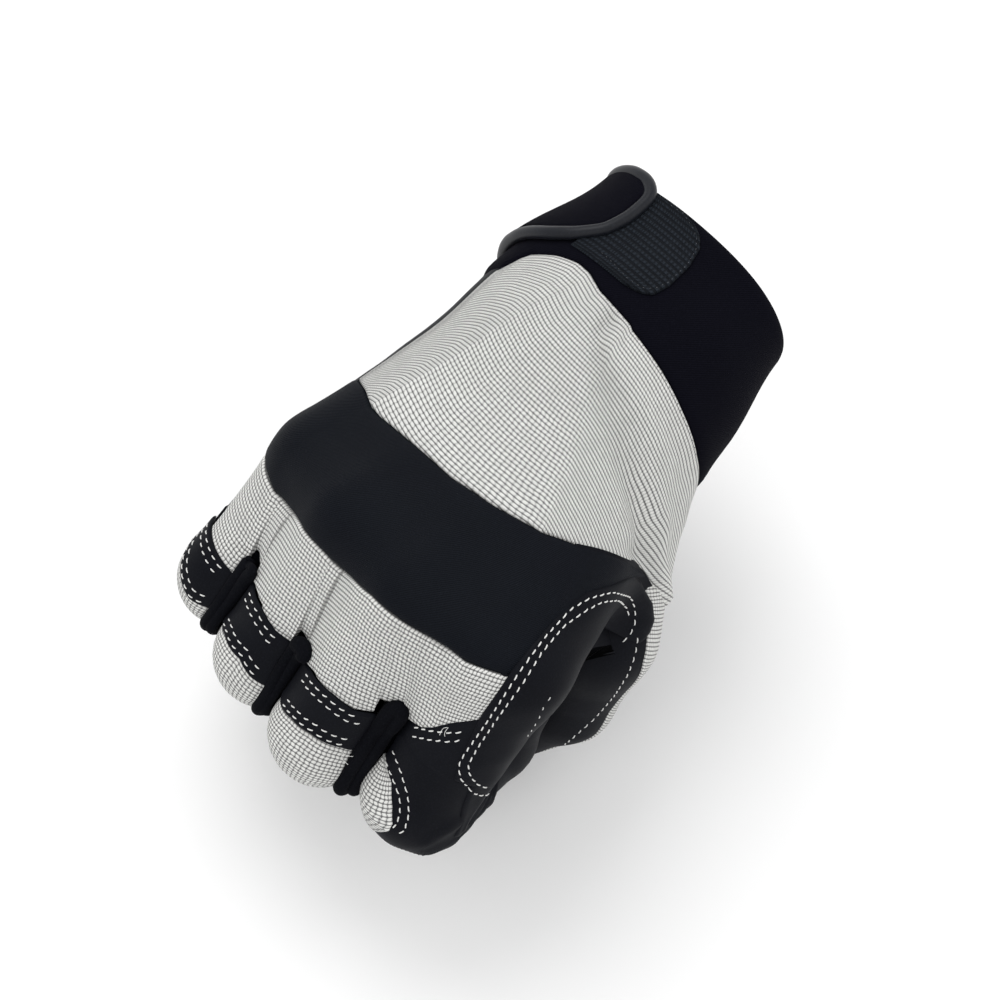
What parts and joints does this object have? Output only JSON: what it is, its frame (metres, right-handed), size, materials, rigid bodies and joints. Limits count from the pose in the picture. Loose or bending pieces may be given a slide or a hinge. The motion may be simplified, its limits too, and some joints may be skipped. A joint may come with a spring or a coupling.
{
  "type": "mechanic glove",
  "caption": "Right-hand padded work glove in grey weave and black synthetic leather with a knuckle band and wrist strap, shaped as a closed fist.",
  "frame": {"origin": "the middle of the wrist opening, in the plane of the cuff's edge", "axes": "+X from the wrist to the knuckles, +Y to the thumb side, +Z out of the back of the hand"},
  "size_m": [0.161, 0.1094, 0.1216],
  "materials": {
    "grey_fabric": "matt light grey ribbed weave",
    "black_leather": "matt black synthetic leather",
    "neoprene": "matt black jersey over foam",
    "hook_tape": "matt ribbed hook tape",
    "gloss_piping": "satin rolled piping"
  },
  "bodies": {
    "root": {"cuff_band": "neoprene", "hook_patch": "hook_tape", "closure_strap": "neoprene", "strap_piping": "gloss_piping", "back_panel": "grey_fabric", "knuckle_band": "neoprene", "knuckle_panel": "grey_fabric", "palm_panel": "black_leather", "saddle_patch": "black_leather", "finger_band_little": "black_leather", "finger_back_little": "grey_fabric", "finger_band_ring": "black_leather", "finger_back_ring": "grey_fabric", "finger_band_middle": "black_leather", "finger_back_middle": "grey_fabric", "finger_back_index": "grey_fabric", "index_wrap": "black_leather", "little_side": "black_leather", "finger_palm_little": "black_leather", "finger_palm_ring": "black_leather", "finger_palm_middle": "black_leather", "finger_palm_index": "black_leather", "fourchette_little_ring": "black_leather", "fourchette_ring_middle": "black_leather", "fourchette_middle_index": "black_leather", "thumb_back": "grey_fabric", "thumb_palm": "black_leather"}
  },
  "joints": []
}
